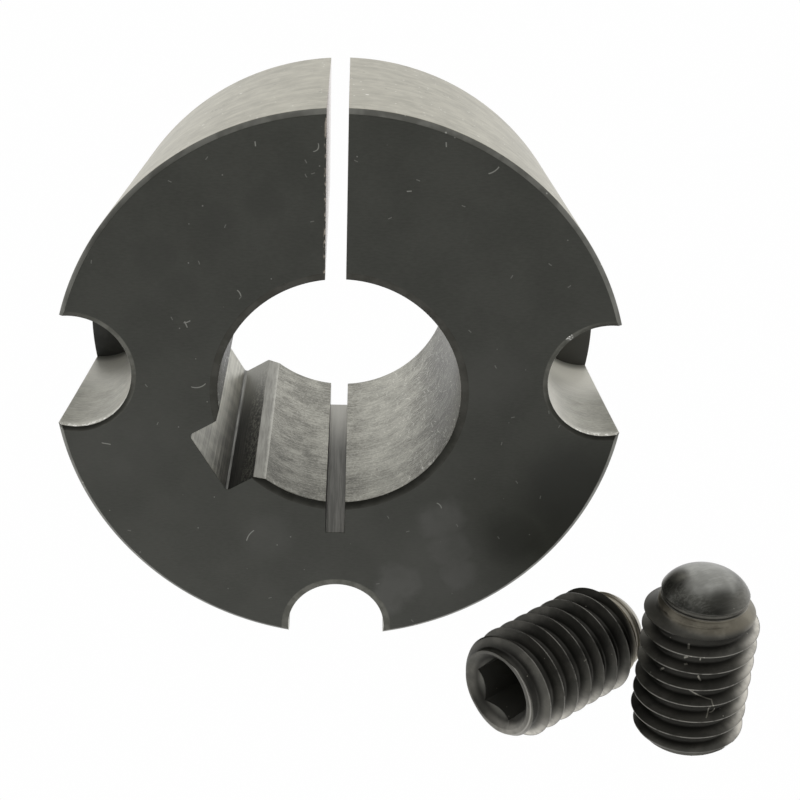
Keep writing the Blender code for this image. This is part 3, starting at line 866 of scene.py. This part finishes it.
def screw_finish(w, p, rubbed_side, point_wear, ways, lint):
    """Black oxide with a brown cone and a polished dome, dusty, with lint in front.

    The ways are the directions across, up and out of the side that is seen first.
    """
    x, y, z = w.parts(p)
    radius = (x * x + y * y) ** 0.5
    side = (x * rubbed_side.x + y * rubbed_side.y) / radius
    across, up, out = [x * way.x + y * way.y + z * way.z for way in ways]
    fine = w.noise(p, 8.0, 3.0, 0.7)
    colour = cone_colour(w, p, side, oxide_colour(w, p, radius, side, fine))
    cone_foot, dome_foot = CONE_FOOT / MM, EDGE_FOOT / MM
    on_dome = w.step(z, dome_foot - 0.1, dome_foot - 0.02)
    colour = w.blend(on_dome, colour, dome_colour(w, p, side, across, up))
    dust = w.specks(p, 0.9, 0.06, 0.3)
    colour = w.blend(dust * 0.7, colour, (0.55, 0.53, 0.45))
    worn_point = w.step(z, cone_foot + 0.15, cone_foot + 0.5) * point_wear
    colour = w.blend(worn_point, colour, (0.62, 0.575, 0.475))
    hairs = w.hairs(across, up, lint) * w.step(out, 0.0, 0.5)
    colour = w.blend(hairs * 0.55, colour, (0.62, 0.60, 0.52))
    roughness = w.step(z, dome_foot - 0.1, dome_foot, 0.4, 0.3)
    height = fine * 0.006 + dust * 0.01
    return {"colour": colour, "metallic": 0.85, "roughness": roughness, "bump": height}


def rim_radius(depth):
    """Radius of the taper at a depth behind the large-end face."""
    return LARGE_END_RADIUS - depth * tan(TAPER)


def height_of(face):
    """How high the middle of a face is."""
    return face.calc_center_median().z


def faces_sideways(face):
    """Whether a face of a turned piece is part of its taper or its bore."""
    return Vector((face.normal.x, face.normal.y)).length > 0.9


def is_chamfer(face):
    """Whether a face of a turned piece slopes between its side and its end."""
    return 0.1 < Vector((face.normal.x, face.normal.y)).length < 0.9


def faces_outwards(face):
    """Whether a face of a turned piece faces away from the axis."""
    middle = face.calc_center_median()
    return face.normal.x * middle.x + face.normal.y * middle.y > 0


def bush_blank(finishes):
    """The turned bush, with a finish for each of its surfaces."""
    small = rim_radius(BUSH_LENGTH)
    chamfer, chamfer_depth = BORE_CHAMFER
    rings = [
        (BORE_RADIUS + chamfer, 0.0),
        (rim_radius(0.0) - RIM_CHAMFER, 0.0),
        (rim_radius(RIM_CHAMFER), -RIM_CHAMFER),
        (rim_radius(BUSH_LENGTH - RIM_CHAMFER), RIM_CHAMFER - BUSH_LENGTH),
        (small - RIM_CHAMFER, -BUSH_LENGTH),
        (BORE_RADIUS + chamfer, -BUSH_LENGTH),
        (BORE_RADIUS, chamfer_depth - BUSH_LENGTH),
        (BORE_RADIUS, -chamfer_depth),
    ]
    blank = turned("bush", rings, BUSH_STEPS, closed=True)
    finish_with(blank, finishes["face"])
    finish_where(blank, finishes["taper"], lambda face: faces_sideways(face) and faces_outwards(face))
    finish_where(blank, finishes["bore"], lambda face: faces_sideways(face) and not faces_outwards(face))
    finish_where(blank, finishes["rim"], lambda face: is_chamfer(face) and faces_outwards(face))
    finish_where(blank, finishes["chamfer"], lambda face: is_chamfer(face) and not faces_outwards(face))
    return blank


def notch_tool(name, radius, chamfer, centre, direction, finishes):
    """The drill that leaves a half-round notch with a shallow chamfer round its mouth."""
    mouth = radius + 2 * chamfer
    rings = [
        (mouth, OVERRUN),
        (mouth, NOTCH_CHAMFER_DEPTH),
        (radius, -NOTCH_CHAMFER_DEPTH),
        (radius, -NOTCH_DEPTH),
    ]
    tool = turned(name, rings, NOTCH_STEPS)
    finish_with(tool, finishes["notch"])
    finish_where(tool, finishes["chamfer"], lambda face: height_of(face) > -NOTCH_CHAMFER_DEPTH)
    finish_where(tool, finishes["shoulder"], lambda face: height_of(face) < -0.99 * NOTCH_DEPTH)
    tool.location = (centre * cos(direction), centre * sin(direction), 0.0)
    return tool


def keyway_tool(finishes):
    """The broach that leaves the keyway, with rounded corners on its floor and broken edges at the bore."""
    half = KEYWAY_HALF_WIDTH
    floor = BORE_RADIUS + KEYWAY_DEPTH
    radius = KEYWAY_CORNER_RADIUS
    angles = [pi / 2 * step / CORNER_STEPS for step in range(CORNER_STEPS + 1)]
    corner = []
    for angle in angles:
        corner.append((floor - radius * (1 - cos(angle)), half - radius * (1 - sin(angle))))
    wall_end = sqrt(BORE_RADIUS**2 - half**2) + KEYWAY_EDGE_BREAK
    flare = 2 * KEYWAY_EDGE_BREAK
    side = corner + [
        (wall_end, half),
        (wall_end - flare, half + flare),
        (BORE_RADIUS / 2, half + flare),
    ]
    other_side = [(x, -y) for x, y in reversed(side)]
    tool = prism("keyway_tool", side + other_side, -BUSH_LENGTH - OVERRUN, OVERRUN)
    finish_with(tool, finishes["broached"])
    finish_where(tool, finishes["key_corner"], lambda face: 0.1 < face.normal.x < 0.995)
    finish_where(tool, finishes["key_wall"], lambda face: abs(face.normal.y) > 0.9)

    def is_broken_edge(face):
        return abs(face.normal.y) > 0.6 and wall_end - flare < face.calc_center_median().x < wall_end

    finish_where(tool, finishes["key_edge"], is_broken_edge)
    tool.rotation_euler.z = KEYWAY_DIRECTION
    return tool


def split_tool(finish):
    """The saw's path through the wall at the top."""
    low = (SPLIT_OFFSET - SPLIT_WIDTH / 2, 0.0, -BUSH_LENGTH - OVERRUN)
    high = (SPLIT_OFFSET + SPLIT_WIDTH / 2, LARGE_END_RADIUS + OVERRUN, OVERRUN)
    tool = block("split_tool", low, high)
    put(tool, Matrix.Rotation(-SPLIT_ASKEW, 4, "Y"))
    return finish_with(tool, finish)


def relief_tool(finish):
    """The saw's path part way into the wall at the bottom, a little deeper at the large end."""
    front, back = RELIEF_DEPTHS
    slope = atan2(front - back, BUSH_LENGTH)
    low = (RELIEF_OFFSET - RELIEF_WIDTH / 2, -BORE_RADIUS - front, -BUSH_LENGTH - OVERRUN)
    high = (RELIEF_OFFSET + RELIEF_WIDTH / 2, 0.0, OVERRUN)
    tool = block("relief_tool", low, high)
    pivot = Vector((0.0, -BORE_RADIUS - front, 0.0))
    put(tool, Matrix.Translation(pivot) @ Matrix.Rotation(slope, 4, "X") @ Matrix.Translation(-pivot))
    return finish_with(tool, finish)


def make_bush():
    """The split bush, cut from its turned blank."""
    finishes = {
        "face": steel("phosphated_face", BUSH_PLACE, face_finish),
        "taper": steel("turned_taper", BUSH_PLACE, taper_finish),
        "bore": steel("bored_wall", BUSH_PLACE, bore_finish),
        "rim": steel("rim_chamfer", BUSH_PLACE, rim_finish),
        "chamfer": steel("shallow_chamfer", BUSH_PLACE, chamfer_finish),
        "sawn": steel("sawn_wall", BUSH_PLACE, sawn_finish),
        "broached": steel("broached_floor", BUSH_PLACE, broached_finish),
        "key_corner": steel("keyway_corner", BUSH_PLACE, key_corner_finish),
        "key_wall": steel("keyway_wall", BUSH_PLACE, key_wall_finish),
        "key_edge": steel("keyway_edge", BUSH_PLACE, key_edge_finish),
        "notch": steel("drilled_notch", BUSH_PLACE, notch_finish),
        "shoulder": steel("notch_shoulder", BUSH_PLACE, shoulder_finish),
    }
    bush = bush_blank(finishes)
    combine(bush, split_tool(finishes["sawn"]))
    combine(bush, relief_tool(finishes["sawn"]))
    combine(bush, keyway_tool(finishes))
    combine(bush, notch_tool("right_notch_tool", *CLAMP_NOTCH, CLAMP_NOTCH_RISE, finishes))
    combine(bush, notch_tool("left_notch_tool", *CLAMP_NOTCH, pi - CLAMP_NOTCH_RISE, finishes))
    combine(bush, notch_tool("jacking_notch_tool", *JACKING_NOTCH, -pi / 2, finishes))
    bevel = {"width": BUSH_EASING, "segments": 2, "limit_method": "ANGLE", "angle_limit": radians(30.0)}
    use(bush, "BEVEL", "eased_edges", use_clamp_overlap=False, **bevel)
    only(bush)
    bpy.ops.object.shade_smooth_by_angle(angle=radians(30.0))
    use(bush, "WEIGHTED_NORMAL", "flat_faces_stay_flat", keep_sharp=True, weight=100)
    bush.name = "split_taper_bush"
    return put(bush, BUSH_PLACE)


def threaded_rod():
    """The thread on its core: one pitch of it, drawn on the XZ plane, and carried round and up by Screw."""
    turns = int(SCREW_LENGTH / PITCH) + 4
    start = -2 * PITCH
    only()
    bpy.ops.mesh.primitive_plane_add(size=PITCH, rotation=(pi / 2, 0.0, 0.0))
    rod = bpy.context.object
    rod.name = "threaded_rod"
    bpy.ops.object.transform_apply(location=False, rotation=True, scale=False)
    edit(True)
    choose("VERT", lambda point: point.co.x > 0)
    bpy.ops.mesh.delete(type="VERT")
    bpy.ops.mesh.select_all(action="SELECT")
    bpy.ops.transform.translate(value=(CREST - THREAD_DEPTH + PITCH / 2, 0.0, start + PITCH / 2))
    bpy.ops.mesh.subdivide(number_cuts=3)
    middle = start + PITCH / 2
    choose("VERT", lambda point: abs(point.co.z - middle) < PITCH / 8)
    bpy.ops.transform.translate(value=(THREAD_DEPTH + CREST_ROUNDING, 0.0, 0.0))
    bpy.ops.mesh.bevel(offset=CREST_BEVEL, segments=3, affect="VERTICES")
    choose("VERT", lambda point: PITCH / 8 < abs(point.co.z - middle) < PITCH * 0.4)
    bpy.ops.mesh.bevel(offset=ROOT_BEVEL, segments=3, affect="VERTICES")
    edit(False)
    use(
        rod,
        "SCREW",
        "thread",
        screw_offset=PITCH,
        iterations=turns,
        steps=SCREW_STEPS,
        render_steps=SCREW_STEPS,
        use_merge_vertices=True,
        merge_threshold=WELD,
    )
    edit(True)
    tidy_mesh()
    middle = start + PITCH * (turns + 1) / 2
    for side in (-1, 1):
        choose("EDGE", lambda edge: edge.is_boundary and side * (centred(edge).z - middle) > 0)
        stub = (0.0, 0.0, side * 2 * PITCH)
        bpy.ops.mesh.extrude_region_move(TRANSFORM_OT_translate={"value": stub})
        bpy.ops.mesh.merge(type="CENTER")
    tidy_mesh()
    edit(False)
    rod.rotation_euler.z = pi / (SCREW_STEPS * 3)  # so that its points miss those of the blank
    return rod


def screw_blank():
    """The outer form of a set screw: dome, neck, shoulder cone, body over the crests and end chamfer."""
    ball = (POINT**2 + DOME_HEIGHT**2) / (2 * DOME_HEIGHT)
    reach = asin(POINT / ball)
    foot = SCREW_LENGTH - DOME_HEIGHT
    dome = []
    for step in range(DOME_STEPS, 0, -1):
        angle = reach * step / DOME_STEPS
        height = DOME_HEIGHT - ball * (1 - cos(angle))
        ellipse = POINT * sqrt(1 - (height / DOME_HEIGHT) ** 2)
        dome.append((ball * sin(angle) * (1 - DOME_FULLNESS) + ellipse * DOME_FULLNESS, foot + height))
    lip = []
    for step in range(1, LIP_STEPS + 1):
        angle = pi / 2 * step / (LIP_STEPS + 1)
        lip.append((NECK + (POINT - NECK) * sin(angle), foot - POINT_EDGE * cos(angle)))
    over = THREAD_DEPTH / 2
    end_chamfer, end_length = END_CHAMFER
    shoulder_over = over * SHOULDER_LENGTH / (CREST - NECK)
    ring_low, ring_high = [NECK_FOOT + end for end in NECK_RING_ENDS]
    rings = [
        (CREST - end_chamfer, 0.0),
        (CREST + over, end_length + over * end_length / end_chamfer),
        (CREST + over, CONE_FOOT - shoulder_over),
        (NECK, NECK_FOOT),
        (NECK, ring_low),
        (NECK_RING, ring_low + NECK_RING_SLOPE),
        (NECK_RING, ring_high - NECK_RING_SLOPE),
        (NECK, ring_high),
        (NECK, EDGE_FOOT),
    ]
    return turned("screw", rings + lip + dome + [(0.0, SCREW_LENGTH)], SCREW_STEPS)


def make_screw():
    """A set screw in its own frame."""
    screw = screw_blank()
    combine(screw, threaded_rod(), "INTERSECT")
    hole = SOCKET_ACROSS_FLATS / 2 - DRILL_CLEARANCE
    drill_rings = [
        (SOCKET_MOUTH + OVERRUN, -OVERRUN),
        (hole, SOCKET_MOUTH - hole),
        (hole, SOCKET_DEPTH),
        (0.0, SOCKET_DEPTH + DRILL_POINT),
    ]
    combine(screw, turned("drill", drill_rings, SCREW_STEPS))
    corner = SOCKET_ACROSS_FLATS / sqrt(3)
    only()
    bpy.ops.mesh.primitive_cylinder_add(vertices=6, radius=corner, depth=SOCKET_DEPTH + OVERRUN)
    key = bpy.context.object
    key.rotation_euler.z = pi / 2
    key.location.z = (SOCKET_DEPTH - OVERRUN) / 2
    combine(screw, key)
    bevel = {"width": SCREW_EASING, "segments": 2, "limit_method": "ANGLE", "angle_limit": radians(38.0)}
    use(screw, "BEVEL", "eased_edges", use_clamp_overlap=False, **bevel)
    only(screw)
    bpy.ops.object.shade_smooth_by_angle(angle=radians(35.0))
    return screw


def dress_screw(thing, finish_name, place, rubbed_towards, point_wear, lint):
    """Puts a screw in its place, rubbed on the side towards a direction, with lint on its front."""
    put(thing, place)
    inwards = place.to_3x3().inverted()
    ways = [inwards @ way for way in LINT_WAYS]
    rubbed_side = inwards @ rubbed_towards
    finish_with(thing, steel(finish_name, place, screw_finish, rubbed_side, point_wear, ways, lint))


def copy_of(thing, name):
    """A copy with its own mesh."""
    only(thing)
    bpy.ops.object.duplicate(linked=False)
    made = bpy.context.object
    made.name = name
    return made


def studio():
    """A plain white floor, a soft surround and the camera."""
    only()
    bpy.ops.mesh.primitive_plane_add(size=FLOOR_SIZE)
    floor = bpy.context.object
    floor.name = "floor"
    floor.location.z = -FLOOR_DROP
    made = bpy.data.materials.new("white_sweep")
    made.use_nodes = True
    wiring = Wiring(made.node_tree)
    glow = wiring.node("ShaderNodeEmission", None, {"Color": (1.0, 1.0, 1.0), "Strength": 0.995})
    wiring.node("ShaderNodeOutputMaterial", None, {"Surface": glow})
    made.cycles.emission_sampling = "NONE"
    finish_with(floor, made)

    world = bpy.data.worlds.new("studio")
    bpy.context.scene.world = world
    world.use_nodes = True
    wiring = Wiring(world.node_tree)
    x, y, z = wiring.parts(wiring.node("ShaderNodeTexCoord", output="Generated"))
    behind = wiring.step(y, -0.3, 0.5, 0.12, 1.0)
    overhead = wiring.step(z, 0.3, 0.95)
    beside = wiring.step(x, 0.2, 0.9) * 0.6 + wiring.step(x, -0.2, -0.9) * 0.15
    strength = wiring.most(behind, beside) * (1.0 - overhead) + overhead * 0.75
    sky = wiring.node("ShaderNodeBackground", None, {"Color": (1.0, 1.0, 1.0), "Strength": strength})
    wiring.node("ShaderNodeOutputWorld", None, {"Surface": sky})

    camera = bpy.data.cameras.new("camera")
    seen_from = bpy.data.objects.new("camera", camera)
    bpy.context.scene.collection.objects.link(seen_from)
    back = CAMERA_RIGHT.cross(CAMERA_UP)
    turn = Matrix((CAMERA_RIGHT, CAMERA_UP, back)).transposed().to_4x4()
    seen_from.matrix_world = Matrix.Translation(CAMERA_PLACE) @ turn
    camera.sensor_width = SENSOR
    camera.lens = CAMERA_FOCUS * SENSOR / PICTURE
    camera.shift_x = (PICTURE / 2 - CAMERA_CENTRE[0]) / PICTURE
    camera.shift_y = (CAMERA_CENTRE[1] - PICTURE / 2) / PICTURE
    camera.clip_start, camera.clip_end = CAMERA_REACH
    bpy.context.scene.camera = seen_from
    bpy.context.scene.view_settings.view_transform = "Standard"


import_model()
bush = make_bush()
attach(bush, "root")
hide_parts("bushing_body")
screw = make_screw()
standing = copy_of(screw, "upright_set_screw")
dress_screw(standing, "black_oxide_upright", UPRIGHT_MATRIX, UPRIGHT_RUBBED, 0.0, UPRIGHT_LINT)
screw.name = "lying_set_screw"
dress_screw(screw, "black_oxide_lying", LYING_MATRIX, LYING_RUBBED, 0.5, LYING_LINT)
for piece, node in ((standing, "set_screw_upright"), (screw, "set_screw_lying")):
    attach(piece, "root")
    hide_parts(node)
studio()
